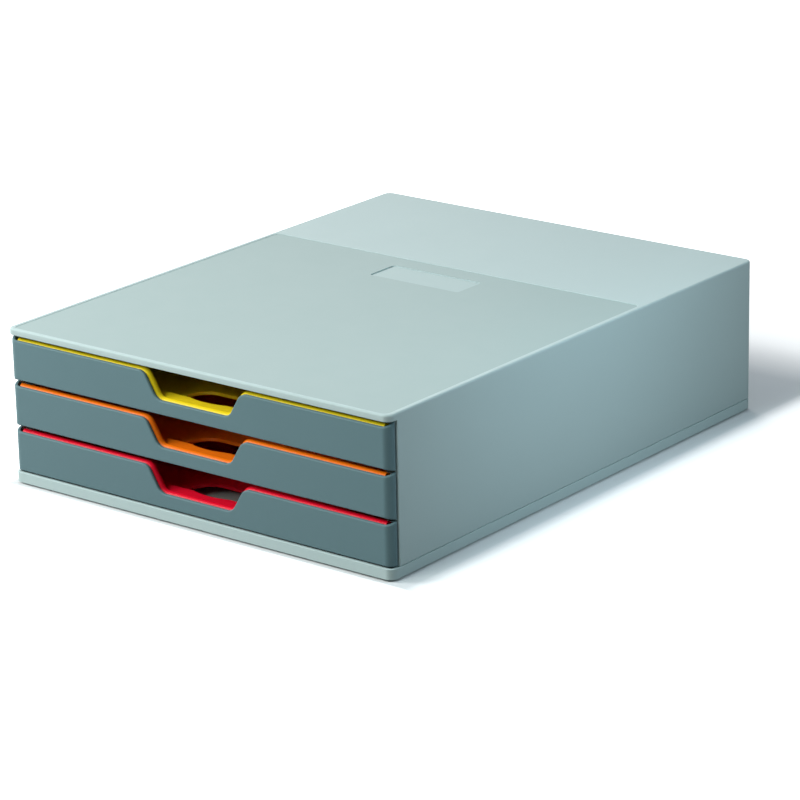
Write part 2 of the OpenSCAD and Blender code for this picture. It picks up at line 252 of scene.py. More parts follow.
class Finish:
    """The nodes of a new material or world, filled in node by node."""

    def __init__(self, owner):
        self.owner = owner
        owner.use_nodes = True
        self.tree = owner.node_tree
        self.tree.nodes.clear()

    def node(self, kind, settings=None, values=None, output=0):
        """Adds a node, sets it up, feeds its sockets and returns one of its outputs."""
        made = self.tree.nodes.new(kind)
        for key, value in (settings or {}).items():
            if key == "stops":
                for index, (place, grey) in enumerate(value):
                    stops = made.color_ramp.elements
                    stop = stops[index] if index < 2 else stops.new(place)
                    stop.position = place
                    stop.color = (grey, grey, grey, 1)
            else:
                setattr(made, key, value)
        for key, value in (values or {}).items():
            if isinstance(value, Term):
                self.tree.links.new(value.socket, made.inputs[key])
            else:
                made.inputs[key].default_value = value
        return Term(self, made.outputs[output]) if len(made.outputs) else None

    def noise(self, scale, detail=2, roughness=0.5, stretch=None):
        """Noise on the piece's own coordinates, from 0 to 1."""
        place = self.node("ShaderNodeTexCoord", output="Object")
        if stretch:
            place = self.node("ShaderNodeMapping", None, {"Vector": place, "Scale": stretch})
        return self.node(
            "ShaderNodeTexNoise",
            None,
            {"Vector": place, "Scale": scale, "Detail": detail, "Roughness": roughness},
        )

    def light_path(self):
        """1 for rays that see, mirror or look through to a surface, and 0 for rays that light."""
        seen = self.node("ShaderNodeLightPath", output="Is Camera Ray")
        for ray in ("Is Glossy Ray", "Is Transmission Ray"):
            seen = seen.largest(self.node("ShaderNodeLightPath", output=ray))
        return seen

    def blend(self, share, first, second):
        """A colour between two colours."""
        return self.node(
            "ShaderNodeMix",
            {"data_type": "RGBA", "clamp_factor": True},
            {0: share, 6: first, 7: second},
            output=2,
        )

    def ramp(self, value, stops):
        """Greys between stops, each a place and a grey."""
        return self.node("ShaderNodeValToRGB", {"stops": stops}, {0: value})

    def bump(self, height, strength, distance):
        sockets = {"Strength": strength, "Distance": distance, "Height": height}
        return self.node("ShaderNodeBump", None, sockets)

    def principled(self, sockets):
        return self.node("ShaderNodeBsdfPrincipled", None, sockets)

    def finish(self, shader, kind="ShaderNodeOutputMaterial"):
        self.node(kind, None, {"Surface": shader})
        return self.owner


def new_finish(name):
    return Finish(bpy.data.materials.new(name))


def shade(colour, factor):
    """A colour made darker or lighter, with its alpha."""
    return tuple(min(1.0, part * factor) for part in colour) + (1.0,)


def moulded(name, colour, grain, depth, roughness, drift=0.03):
    """Moulded plastic: a drifting colour, patches that were rubbed smoother, and a fine grain."""
    f = new_finish(name)
    cloud = f.noise(9, 3, 0.55)
    flow = f.noise(34, 2, 0.5, (1, 0.35, 1))
    grit = f.noise(grain, 2, 0.6)
    rubbed = f.noise(70, 4, 0.6)
    speck = f.ramp(f.noise(grain * 0.45, 1), [(0.66, 0), (0.76, 1)])
    drifted = f.blend(cloud * 0.6 + flow * 0.4, shade(colour, 1 - drift), shade(colour, 1 + drift))
    height = grit * 0.7 + f.noise(grain * 0.3, 2) * 0.3
    shader = f.principled(
        {
            "Base Color": f.blend(speck * 0.22, drifted, shade(colour, 0.9)),
            "Roughness": roughness - 0.06 + rubbed * 0.1 + grit * 0.04,
            "Normal": f.bump(height, 0.35, depth),
            "Specular IOR Level": 0.12,
        }
    )
    return f.finish(shader)


def glossy_plastic(name, colour):
    """Satin plastic of the trays: a deep colour under a thin shine, with faint sliding marks."""
    f = new_finish(name)
    cloud = f.noise(14, 2, 0.5)
    wave = f.noise(45, 3, 0.5)
    marks = f.ramp(f.noise(900, 2, 0.6, (1, 0.02, 1)), [(0.6, 0), (0.72, 1)])
    height = wave * 0.8 + f.noise(1500, 2) * 0.08
    shader = f.principled(
        {
            "Base Color": f.blend(cloud, shade(colour, 0.94), shade(colour, 1.03)),
            "Roughness": 0.3 + wave * 0.08 + marks * 0.12,
            "Normal": f.bump(height, 0.25, 0.00004),
            "Specular IOR Level": 0.1,
            "Coat Weight": 0.04 - marks * 0.03,
            "Coat Roughness": 0.12,
        }
    )
    return f.finish(shader)


def rubber(name, colour):
    """Matt rubber: coarse grain with dust in its hollows."""
    f = new_finish(name)
    grit = f.noise(1400, 3, 0.7)
    dust = f.ramp(f.noise(160, 4, 0.6), [(0.5, 0), (0.8, 1)])
    shader = f.principled(
        {
            "Base Color": f.blend(dust * 0.5, shade(colour, 1), (0.16, 0.16, 0.155, 1)),
            "Roughness": 0.78 + grit * 0.15,
            "Normal": f.bump(grit, 0.5, 0.00005),
        }
    )
    return f.finish(shader)


def plated_steel(name, colour):
    """Zinc-plated steel: a fine grain drawn out along the screws, and dull spots."""
    f = new_finish(name)
    grain = f.noise(2600, 2, 0.5, (1, 1, 0.2))
    spots = f.noise(420, 3, 0.6)
    shader = f.principled(
        {
            "Base Color": f.blend(spots, shade(colour, 0.82), shade(colour, 1.05)),
            "Metallic": 1.0,
            "Roughness": 0.24 + spots * 0.2,
            "Normal": f.bump(grain, 0.3, 0.00002),
        }
    )
    return f.finish(shader)


# Mesh helpers


def edges_of(faces):
    """The edges of some faces, each once and in the same order in every run."""
    return list(dict.fromkeys(e for f in faces for e in f.edges))


def parts_of(faces):
    """Faces together with their edges and vertices."""
    return [*faces, *edges_of(faces), *dict.fromkeys(v for f in faces for v in f.verts)]


def only(kind, geom):
    return [g for g in geom if isinstance(g, kind)]


def new_faces(bm, known):
    """The faces that were made since known was the set of all vertices."""
    return [f for f in bm.faces if not known.intersection(f.verts)]


def moved(bm, faces, step):
    """Extrudes faces by a step and returns the faces at its end."""
    made = bmesh.ops.extrude_face_region(bm, geom=[*faces, *edges_of(faces)])["geom"]
    bmesh.ops.translate(bm, vec=step, verts=only(bmesh.types.BMVert, made))
    return only(bmesh.types.BMFace, made)


def swung(bm, geom, centre, axis, angle, steps):
    """Extrudes geometry round an axis and returns what lies at its end."""
    return bmesh.ops.spin(
        bm,
        geom=geom,
        cent=centre,
        axis=axis,
        angle=angle,
        steps=steps,
        use_duplicate=False,
        use_merge=False,
    )["geom_last"]


def swung_faces(bm, faces, centre, axis, angle, steps=8):
    return only(bmesh.types.BMFace, swung(bm, parts_of(faces), centre, axis, angle, steps))


def round_corners(bm, verts, reach, steps):
    """Rounds corners of a flat outline: reach is the distance from each corner to its arc's end."""
    bmesh.ops.bevel(
        bm,
        geom=verts,
        offset=reach,
        offset_type="OFFSET",
        segments=steps,
        profile=0.5,
        affect="VERTICES",
        material=-1,
    )


def round_edges(bm, edges, radius, steps=3):
    bmesh.ops.bevel(
        bm,
        geom=edges,
        offset=radius,
        offset_type="OFFSET",
        segments=steps,
        profile=0.5,
        affect="EDGES",
        clamp_overlap=True,
        material=-1,
    )


def plan_face(bm, low, high, height, corner=0.0, steps=CORNER_STEPS, rear_only=False):
    """A flat face between two corners of a plan, with all or only its rear corners rounded."""
    middle = Vector(((low[0] + high[0]) / 2, (low[1] + high[1]) / 2, height))
    size = Matrix.Diagonal((high[0] - low[0], high[1] - low[1], 1, 1))
    known = set(bm.verts)
    verts = bmesh.ops.create_grid(
        bm, x_segments=1, y_segments=1, size=0.5, matrix=Matrix.Translation(middle) @ size
    )["verts"]
    if corner:
        rounded = [v for v in verts if v.co.y > middle.y] if rear_only else verts
        round_corners(bm, rounded, corner, steps)
    return new_faces(bm, known)[0]


def slice_at(bm, faces, xs=(), ys=(), zs=()):
    """Cuts faces along planes and returns all that is left of them."""
    for axis, places in ((X, xs), (Y, ys), (Z, zs)):
        for place in places:
            cut = bmesh.ops.bisect_plane(
                bm,
                geom=parts_of(faces),
                dist=CUT_DISTANCE,
                plane_co=axis * place,
                plane_no=axis,
                use_snap_center=False,
            )
            faces = only(bmesh.types.BMFace, cut["geom"])
    return faces


def rim_of(faces):
    """The edges around a group of faces."""
    seen = {}
    for face in faces:
        for edge in face.edges:
            seen[edge] = seen.get(edge, 0) + 1
    return [edge for edge, count in seen.items() if count == 1]


def frame_outline(bm, face, outline):
    """Opens face around an outline that lies in it, and joins its own edges to the outline's."""
    outer = list(face.edges)
    bmesh.ops.delete(bm, geom=[face], context="FACES_ONLY")
    bmesh.ops.bridge_loops(bm, edges=[*outer, *outline])


def pocket(bm, face, cut_face, depth):
    """Sinks the outline of cut_face, which lies in face, by depth along Z. Returns the floor."""
    frame_outline(bm, face, list(cut_face.edges))
    return moved(bm, [cut_face], Z * depth)[0]


def on_level(part, z):
    """Do all vertices of an edge or a face lie at one height?"""
    return all(abs(v.co.z - z) < TINY for v in part.verts)


def along(edge, axis):
    """Does an edge run along an axis?"""
    return abs((edge.verts[1].co - edge.verts[0].co).normalized().dot(axis)) > NEARLY


def sharp_edges(bm):
    return [e for e in bm.edges if e.is_manifold and e.calc_face_angle(0) > HARD_ANGLE]


def outwards(bm):
    bmesh.ops.recalc_face_normals(bm, faces=bm.faces[:])


def block(bm, low, high, edge):
    """A block between two corners, with rounded edges."""
    low, high = Vector(low), Vector(high)
    verts = bmesh.ops.create_cube(
        bm,
        size=1,
        matrix=Matrix.Translation((low + high) / 2) @ Matrix.Diagonal((*(high - low), 1)),
    )["verts"]
    round_edges(bm, edges_of(f for v in verts for f in v.link_faces), edge, 2)


def rod(bm, start, end, radius, steps, edge=0.0):
    """A round rod between two points, with its ends' edges rounded."""
    start, end = Vector(start), Vector(end)
    turn = Z.rotation_difference(end - start).to_matrix().to_4x4()
    verts = bmesh.ops.create_cone(
        bm,
        cap_ends=True,
        segments=steps,
        radius1=radius,
        radius2=radius,
        depth=(end - start).length,
        matrix=Matrix.Translation((start + end) / 2) @ turn,
    )["verts"]
    if edge:
        caps = [f for v in verts for f in v.link_faces if len(f.verts) == steps]
        round_edges(bm, edges_of(caps), edge)


def finished(name, bm, materials, body, nodes):
    """Turns a mesh into a shaded piece that rides on a body and stands for its nodes."""
    outwards(bm)
    for face in bm.faces:
        face.smooth = True
    for edge in bm.edges:
        edge.smooth = edge.calc_face_angle(math.pi) < SMOOTH_ANGLE
    mesh = bpy.data.meshes.new(name)
    bm.to_mesh(mesh)
    bm.free()
    piece = bpy.data.objects.new(name, mesh)
    bpy.context.scene.collection.objects.link(piece)
    for material in materials:
        mesh.materials.append(material)
    flat = piece.modifiers.new("Even Shading", "WEIGHTED_NORMAL")
    flat.weight = 100
    flat.keep_sharp = True
    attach(piece, body)
    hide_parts(*nodes)


def dress(node, material):
    """Gives a CAD node its material."""
    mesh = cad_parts[node].data
    mesh.materials.clear()
    mesh.materials.append(material)


def notch_slope(sizes):
    """Angle of the notch's sides from level."""
    return math.atan2(sizes.notch_depth, (sizes.notch_top - sizes.notch_floor) / 2)


def notched_plate(bm, half, low, out, sizes, front, back, height, steps):
    """A plate between two depths, with the notch in its upper edge. Returns its end faces.

    It reaches half to either side. Its lower edge lies low over height, the lower edge of a
    drawer front, and its upper edge and its notch lie inside the front's by out."""
    k = math.tan(notch_slope(sizes) / 2)
    top_z = height + FRONT_HEIGHT - out
    floor_z = height + FRONT_HEIGHT - sizes.notch_depth - out
    top_x = sizes.notch_top / 2 + out * k
    floor_x = sizes.notch_floor / 2 + out * k
    right = [(half, height + low), (half, top_z), (top_x, top_z), (floor_x, floor_z)]
    known = set(bm.verts)
    outline = right + [(-x, z) for x, z in reversed(right)]
    verts = [bm.verts.new((x, front, z)) for x, z in outline]
    bm.faces.new(verts)
    round_corners(bm, [verts[2], verts[5]], (sizes.notch_round - out) * k, steps)
    round_corners(bm, [verts[3], verts[4]], (sizes.notch_round + out) * k, steps)
    moved(bm, new_faces(bm, known), Y * (back - front))
    plate = new_faces(bm, known)
    bmesh.ops.recalc_face_normals(bm, faces=plate)
    return [f for f in plate if abs(abs(f.calc_center_median().x) - half) < TINY]


# Pieces


def make_housing(sizes, colours):
    wall, edge = sizes.wall, sizes.fine_edge
    bottom = BASE_HIGH.z + sizes.seam
    top = SHELL_HIGH.z
    band_z = top - sizes.band
    recess_z = top - sizes.recess_depth
    pocket_z = recess_z - sizes.pocket_depth
    ceiling = top - sizes.top
    inner_x, inner_back, inner_front = RIGHT - wall, BACK - wall, FRONT + wall
    wall_front = FRONT + sizes.overhang
    bm = bmesh.new()

    # Lid: the whole plan, raised from the band's lower edge to the top
    under = plan_face(bm, (-RIGHT, FRONT), (RIGHT, BACK), band_z, sizes.corner)
    lid = moved(bm, [under], Z * (top - band_z))[0]
    lid_edges = list(lid.edges)

    # Under the lid: walls drawn down around the sides and the back, and the ceiling's hollow
    under = [f for f in bm.faces if on_level(f, band_z)]
    cells = slice_at(bm, under, (-inner_x, inner_x), (inner_front, wall_front, inner_back))
    hollow, walls = [], []
    for cell in cells:
        middle = cell.calc_center_median()
        if abs(middle.x) < inner_x and inner_front < middle.y < inner_back:
            hollow.append(cell)
        elif middle.y > wall_front:
            walls.append(cell)
    moved(bm, walls, Z * (bottom - band_z))
    moved(bm, hollow, Z * (ceiling - band_z))

    # Recess in the lid, and the badge's pocket in the recess
    recess = plan_face(
        bm,
        (-RIGHT + sizes.lip, FRONT + sizes.front_lip),
        (RIGHT - sizes.lip, FRONT + sizes.front_lip + sizes.recess_length),
        top,
        sizes.lip,
    )
    field = pocket(bm, lid, recess, -sizes.recess_depth)
    gap, pocket_corner = sizes.pocket_gap, 0.0018
    hole = plan_face(
        bm,
        (BADGE_LOW.x - gap, BADGE_LOW.y - gap / 2),
        (BADGE_HIGH.x + gap, BADGE_HIGH.y + gap / 2),
        recess_z,
        pocket_corner,
    )
    pocket(bm, field, hole, -sizes.pocket_depth)
    for face in bm.faces:
        if on_level(face, recess_z) or on_level(face, pocket_z):
            face.material_index = 1
    outwards(bm)

    # Rounded edges: first the lid's outer edge, then the recess's shallow ones and the fine ones
    round_edges(bm, lid_edges, sizes.top_edge, 5)
    shallow = [e for e in sharp_edges(bm) if on_level(e, top) or on_level(e, recess_z)]
    round_edges(bm, shallow, sizes.recess_depth * SHALLOW_SHARE)
    round_edges(bm, [e for e in sharp_edges(bm) if not on_level(e, ceiling)], edge)

    # Skirt inside the base's rim, screw posts with their ribs, and the pins of the rails
    skirt_share, play = 0.6, 0.0002
    skirt = skirt_share * wall
    skirt_low, skirt_high = SHELL_LOW.z, bottom + skirt
    post_radius, post_height, post_set = 0.0035, 0.012, 0.0031
    rib_half = 0.001
    pin_radius, pin_length = 0.0025, 0.0015
    for side in (-1, 1):
        ends = sorted((side * (inner_x - skirt), side * (inner_x - play)))
        block(bm, (ends[0], wall_front, skirt_low), (ends[1], inner_back - play, skirt_high), edge)
        for place in SCREW_PLACES:
            x, y = side * (inner_x - skirt - post_set), place * (BACK - FRONT)
            rod(bm, (x, y, skirt_low), (x, y, skirt_low + post_height), post_radius, 32, edge)
            ends = sorted((x, side * (inner_x + SUNK)))
            rib_top = skirt_low + post_height - NUDGE
            block(bm, (ends[0], y - rib_half, bottom), (ends[1], y + rib_half, rib_top), edge)
        for which in DRAWERS:
            low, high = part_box(f"rail_{'left' if side < 0 else 'right'}_{which}")
            start, end = side * (inner_x + SUNK), side * (inner_x - pin_length)
            for share in PIN_PLACES:
                y, z = low.y + share * (high.y - low.y), (low.z + high.z) / 2
                rod(bm, (start, y, z), (end, y, z), pin_radius, 24, edge)
    block(
        bm,
        (-inner_x + play, inner_back - skirt, skirt_low),
        (inner_x - play, inner_back - play, skirt_high - NUDGE),
        edge,
    )
    plastics = [
        moulded("housing_plastic", colours.housing, 2300, 0.00003, 0.5),
        moulded("recess_plastic", colours.recess, 3600, 0.00001, 0.38, 0.02),
    ]
    finished("housing", bm, plastics, "root", ["housing_shell"])


def make_base(sizes, colours):
    wall = sizes.wall
    bottom, top = BASE_LOW.z, BASE_HIGH.z
    floor = bottom + wall
    inner_x, inner_y = RIGHT - wall, BACK - wall
    bm = bmesh.new()
    under = plan_face(bm, (-RIGHT, FRONT), (RIGHT, BACK), bottom, sizes.corner)
    moved(bm, [under], Z * (top - bottom))
    upper = [f for f in bm.faces if on_level(f, top)]
    hollow = [
        f
        for f in slice_at(bm, upper, (-inner_x, inner_x), (-inner_y, inner_y))
        if abs(f.calc_center_median().x) < inner_x and abs(f.calc_center_median().y) < inner_y
    ]
    moved(bm, hollow, Z * (floor - top))

    # Pockets of the feet and seats of the screws, each in a square cell of the lower face that is
    # a little wider than the hole
    foot_play, cell_share = 0.0001, 1.25
    head_radius, head_depth, screw_set = 0.0029, 0.0014, 0.0027
    holes = []
    for name in ("foot_front_left", "foot_front_right", "foot_rear_left", "foot_rear_right"):
        low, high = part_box(name)
        holes.append(((low + high) / 2, (high.x - low.x) / 2 + foot_play, high.z - bottom))
    screw_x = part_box("base_screws")[1].x - screw_set
    for side in (-1, 1):
        for place in SCREW_PLACES:
            middle = Vector((side * screw_x, place * (BACK - FRONT), bottom))
            holes.append((middle, head_radius, head_depth))
    for middle, radius, depth in holes:
        middle = Vector((middle.x, middle.y, bottom))
        reach = radius * cell_share
        cells = slice_at(
            bm,
            [f for f in bm.faces if on_level(f, bottom)],
            (middle.x - reach, middle.x + reach),
            (middle.y - reach, middle.y + reach),
        )
        cell = min(cells, key=lambda f: (f.calc_center_median() - middle).length)
        ring = bmesh.ops.create_circle(
            bm, cap_ends=True, segments=32, radius=radius, matrix=Matrix.Translation(middle)
        )["verts"]
        pocket(bm, cell, ring[0].link_faces[0], depth)
    outwards(bm)

    # Rounded edges: under the outer walls, which reach higher than the floor, and along the rim
    below = [
        e
        for e in bm.edges
        if on_level(e, bottom) and any(v.co.z > floor for f in e.link_faces for v in f.verts)
    ]
    round_edges(bm, below, sizes.base_edge, 6)
    round_edges(bm, [e for e in sharp_edges(bm) if on_level(e, top)], sizes.fine_edge)
    plastic = moulded("base_plastic", colours.base, 2300, 0.00003, 0.5)
    finished("base", bm, [plastic], "root", ["base_plate"])


def make_badge(sizes, colours):
    corner, edge, shift_share = 0.0017, 0.0002, 0.7
    shift = sizes.pocket_gap * shift_share
    bm = bmesh.new()
    plate = plan_face(
        bm,
        (BADGE_LOW.x + shift, BADGE_LOW.y),
        (BADGE_HIGH.x + shift, BADGE_HIGH.y),
        SHELL_HIGH.z - sizes.recess_depth - sizes.pocket_depth,
        corner,
    )
    upper = moved(bm, [plate], Z * (BADGE_HIGH.z - BADGE_LOW.z))
    round_edges(bm, rim_of(upper), edge)
    plastic = moulded("badge_plastic", colours.badge, 4200, 0.000006, 0.32, 0.012)
    finished("badge", bm, [plastic], "root", ["badge_plate"])


def make_front(which, sizes, box_sizes, material):
    low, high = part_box(f"front_{which}")
    thick, corner = sizes.front_thickness, box_sizes.corner
    half = high.x - corner
    end_gap = 0.0005
    wrap_end = FRONT + box_sizes.overhang - end_gap
    bm = bmesh.new()
    for end in notched_plate(bm, half, 0, 0, sizes, low.y, low.y + thick, low.z, 10):
        side = math.copysign(1, end.calc_center_median().x)
        centre = (side * half, low.y + corner, 0)
        bent = swung_faces(bm, [end], centre, Z, side * math.pi / 2)
        moved(bm, bent, Y * (wrap_end - low.y - corner))
    outwards(bm)

    # The ends grow taller towards the housing, until they nearly meet their neighbours: more
    # under the top's band, and less over the base
    band_extra, base_flare = 0.0008, 0.0005
    up = sizes.flare + (band_extra if which == "upper" else 0)
    down = base_flare if which == "lower" else sizes.flare
    run = wrap_end - low.y
    for v in bm.verts:
        aside, ahead = abs(v.co.x) - half, low.y + corner - v.co.y
        if aside > TINY:
            turn = math.atan2(aside, max(ahead, 0))
            share = (corner - corner * math.cos(turn) - min(ahead, 0)) / run
            v.co.z += up * share if v.co.z > (low.z + high.z) / 2 else -down * share

    # The outer edges are rounder than the inner ones
    def outside(v):
        x, y = abs(v.co.x), v.co.y
        if x <= half + TINY:
            return y <= low.y + TINY
        return math.hypot(x - half, min(0, y - low.y - corner)) >= corner - 10 * TINY

    outer = [e for e in sharp_edges(bm) if all(map(outside, e.verts)) and not along(e, Y)]
    round_edges(bm, outer, sizes.front_edge, 4)
    round_edges(bm, sharp_edges(bm), box_sizes.fine_edge, 2)

    # Pins through the tray's front wall, with their heads melted over
    radius, head_radius, head, head_edge = 0.002, 0.003, 0.0008, 0.0004
    height_share, past_notch, far_share = 0.32, 0.027, 0.85
    back = low.y + thick
    wall_back = back + sizes.tray_wall
    z = low.z + height_share * (high.z - low.z)
    near, far = sizes.notch_top / 2 + past_notch, far_share * high.x
    for x in (-far, -near, near, far):
        rod(bm, (x, back - SUNK, z), (x, wall_back, z), radius, 24)
        rod(bm, (x, wall_back, z), (x, wall_back + head, z), head_radius, 24, head_edge)
    finished(f"{which}_front", bm, [material], f"{which}_drawer", [f"front_{which}"])


def add_tub(bm, low, high, side_top, hole_front, sizes):
    """Floor and walls of a tray, with its flanges, their ears and the finger hole."""
    wall, floor = sizes.tray_wall, sizes.tray_floor
    half, corner, spare, edge = 0.1269, 0.0025, 0.01, 0.0003
    ear_reach, ear_front, ear_back = 0.0015, 0.10084, 0.10884
    flange_x = high.x - ear_reach
    flange_z = side_top - sizes.flange
    front = low.y + wall / 2

    # The walls start as a closed ring that reaches too far forward, and are then cut off in front
    under = plan_face(bm, (-half, front - spare), (half, high.y), low.z, corner, 6)
    rim = moved(bm, [under], Z * (side_top - low.z))
    bmesh.ops.inset_region(bm, faces=rim, thickness=wall, use_even_offset=True)
    moved(bm, rim, Z * (low.z + floor - side_top))
    outwards(bm)
    sides = [
        f for f in bm.faces if abs(f.normal.x) > 0.9 and abs(f.calc_center_median().x) > half - TINY
    ]
    sides = slice_at(bm, sides, zs=(flange_z,))
    for side in (-1, 1):
        strip = [
            f
            for f in sides
            if f.is_valid
            and f.calc_center_median().x * side > 0
            and f.calc_center_median().z > flange_z
        ]
        flange_ends = moved(bm, strip, X * side * (flange_x - half))
        cells = slice_at(bm, flange_ends, ys=(ear_front, ear_back))
        ears = [f for f in cells if ear_front < f.calc_center_median().y < ear_back]
        moved(bm, ears, X * side * (high.x - flange_x))
    cut = bmesh.ops.bisect_plane(
        bm,
        geom=[*bm.verts, *bm.edges, *bm.faces],
        dist=CUT_DISTANCE,
        plane_co=Y * front,
        plane_no=-Y,
        clear_outer=True,
    )["geom_cut"]
    bmesh.ops.contextual_create(bm, geom=only(bmesh.types.BMEdge, cut))
    outwards(bm)

    # Finger hole through the floor: both faces of the floor are opened, then joined
    hole_low = (-sizes.hole_width / 2, hole_front)
    hole_high = (sizes.hole_width / 2, hole_front + sizes.bite_depth + sizes.hole_length)
    margin = 0.004
    loops = []
    for level in (low.z, low.z + floor):
        cells = slice_at(
            bm,
            [f for f in bm.faces if on_level(f, level)],
            (hole_low[0] - margin, hole_high[0] + margin),
            (hole_low[1] - margin, hole_high[1] + margin),
        )
        cell = next(
            f
            for f in cells
            if hole_low[0] < f.calc_center_median().x < hole_high[0]
            and hole_low[1] < f.calc_center_median().y < hole_high[1]
        )
        disc = plan_face(bm, hole_low, hole_high, level, sizes.hole_corner, rear_only=True)
        outline = list(disc.edges)
        bmesh.ops.delete(bm, geom=[disc], context="FACES_ONLY")
        frame_outline(bm, cell, outline)
        loops += outline
    bmesh.ops.bridge_loops(bm, edges=loops)
    outwards(bm)
    round_edges(bm, sharp_edges(bm), edge, 2)


def add_ledge(bm, low, front, back, height, sizes):
    """Finger ledge behind the notch, with the round hollow in its rear edge."""
    past_notch, edge = 0.013, 0.0007
    half = sizes.notch_floor / 2 + past_notch
    bite, depth = sizes.bite_width / 2, sizes.bite_depth
    radius = (bite**2 + depth**2) / (2 * depth)
    centre = (0, back - depth + radius, 0)
    known = set(bm.edges)
    start = bm.verts.new((bite, back, low.z))
    arc = swung(bm, [start], centre, Z, -2 * math.asin(bite / radius), 16)
    corners = ((-half, back), (-half, front), (half, front), (half, back))
    chain = [*only(bmesh.types.BMVert, arc), *(bm.verts.new((*c, low.z)) for c in corners), start]
    for pair in zip(chain, chain[1:]):
        bm.edges.new(pair)
    outline = [e for e in bm.edges if e not in known]
    plate = bmesh.ops.contextual_create(bm, geom=outline)["faces"]
    upper = moved(bm, plate, Z * (height - low.z))
    rear = [e for e in rim_of(upper) if max(v.co.y for v in e.verts) > front + 10 * TINY]
    round_edges(bm, rear, edge)


def add_rim(bm, high, arch_y, z0, sizes):
    """Rim: its section swept from the middle over the notch's floor, slope and shoulder."""
    wall, radius, bend = sizes.tray_wall, sizes.rim_radius, sizes.notch_round
    rise = sizes.rim_rise - radius
    notch_z = z0 + FRONT_HEIGHT - sizes.notch_depth
    inner = radius - wall
    front_leg, rear_leg, end_edge = -0.0006, -0.0024, 0.0004
    section = [
        (-radius, front_leg),
        (-radius, radius),
        (radius, radius),
        (radius, rear_leg),
        (inner, rear_leg),
        (inner, inner),
        (-inner, inner),
        (-inner, front_leg),
    ]
    known = set(bm.verts)
    verts = [bm.verts.new((0, arch_y + y, notch_z + rise + z)) for y, z in section]
    bm.faces.new(verts)
    round_corners(bm, verts[1:3], radius * NEARLY, 8)
    slope = notch_slope(sizes)
    k = math.tan(slope / 2)
    up = Vector((-math.sin(slope), 0, math.cos(slope)))
    floor_bend = Vector((sizes.notch_floor / 2 - bend * k, arch_y, notch_z + bend))
    top_bend = Vector((sizes.notch_top / 2 + bend * k, arch_y, z0 + FRONT_HEIGHT - bend))
    slope_run = (top_bend + up * (bend + rise)) - (floor_bend - up * (bend - rise))
    end = moved(bm, new_faces(bm, known), X * floor_bend.x)
    end = swung_faces(bm, end, floor_bend, Y, -slope)
    end = moved(bm, end, slope_run)
    end = swung_faces(bm, end, top_bend, Y, slope)
    moved(bm, end, X * (high.x - top_bend.x))
    half_rim = new_faces(bm, known)
    bmesh.ops.recalc_face_normals(bm, faces=half_rim)
    seam = [f for f in half_rim if all(abs(v.co.x) < TINY for v in f.verts)]
    bmesh.ops.delete(bm, geom=seam, context="FACES_ONLY")
    caps = [
        f for f in new_faces(bm, known) if all(abs(v.co.x - high.x) < TINY for v in f.verts)
    ]
    round_edges(bm, rim_of(caps), end_edge, 2)
    bmesh.ops.mirror(bm, geom=parts_of(new_faces(bm, known)), axis="X", merge_dist=TINY)


def make_tray(which, sizes, material):
    low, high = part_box(f"tray_{which}")
    z0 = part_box(f"front_{which}")[0].z
    flange_drop, ledge_drop, ledge_set = 0.0027, 0.0006, 0.0009
    arch_y = low.y + sizes.rim_radius
    ledge_back = arch_y + sizes.rim_radius + sizes.ledge
    ledge_z = z0 + FRONT_HEIGHT - sizes.notch_depth + sizes.rim_rise - ledge_drop
    bm = bmesh.new()
    side_top = z0 + FRONT_HEIGHT - flange_drop
    add_tub(bm, low, high, side_top, ledge_back - sizes.bite_depth, sizes)

    # Front wall behind the drawer front, under the rim and just behind the rim's face
    out, set_back = sizes.rim_radius - sizes.rim_rise + NUDGE, 0.00004
    start, end = low.y + set_back, low.y + sizes.tray_wall
    notched_plate(bm, high.x - NUDGE, low.z - z0, out, sizes, start, end, z0, 8)
    add_ledge(bm, low, arch_y + ledge_set, ledge_back, ledge_z, sizes)
    add_rim(bm, high, arch_y, z0, sizes)
    finished(f"{which}_tray", bm, [material], f"{which}_drawer", [f"tray_{which}"])


# Stage


def make_world(scene):
    """White where it is seen or mirrored, and a weak cool light on everything"""
    f = Finish(bpy.data.worlds.new("studio"))
    light, white = (
        f.node("ShaderNodeBackground", None, {"Color": colour, "Strength": strength})
        for colour, strength in (((0.85, 1, 1, 1), 0.04), ((1, 1, 1, 1), 1))
    )
    mix = f.node("ShaderNodeMixShader", None, {0: f.light_path(), 1: light, 2: white})
    scene.world = f.finish(mix, "ShaderNodeOutputWorld")


def make_floor(scene):
    """Where it is seen or mirrored, white away from the box through a painted glow, and pale beside
    it, where the glow is left out so that the lamps' shadow shows.
    For its light on the box, a middle grey"""
    f = new_finish("floor_white")
    place = f.node("ShaderNodeTexCoord", output="Object")
    x, y = (f.node("ShaderNodeSeparateXYZ", None, {"Vector": place}, axis) for axis in "XY")

    # Painted glow: emission on the floor, none beside the box and white further out. It rises with
    # the distance from the box, which counts less where the shadow reaches further, so the glow
    # paints how far the shadow reaches
    aside = ((x - RIGHT) * 1.2).largest((-RIGHT - x) * 6)
    away = aside.largest(((y - BACK) * 0.2).largest((FRONT - y) * 6))
    painted_glow = f.ramp(away, [(0.011, 0), (0.024, 0.5), (0.06, 1)])
    matt = {"Roughness": 0.9 + f.noise(3, 2) * 0.05, "Specular IOR Level": 0}
    grey = f.principled({"Base Color": (0.2, 0.2, 0.2, 1), **matt})
    # Painted glow: away from the box the floor is made white by its own emission, not by the lamps
    white = f.principled(
        {
            "Base Color": (0.84, 0.85, 0.86, 1),
            "Emission Color": painted_glow,
            "Emission Strength": 1,
            **matt,
        }
    )
    paint = f.node("ShaderNodeMixShader", None, {0: f.light_path(), 1: grey, 2: white})
    half = 6
    bm = bmesh.new()
    plan_face(bm, (-half, -half), (half, half), 0)
    mesh = bpy.data.meshes.new("floor")
    bm.to_mesh(mesh)
    bm.free()
    floor = bpy.data.objects.new("floor", mesh)
    mesh.materials.append(f.finish(paint))
    scene.collection.objects.link(floor)


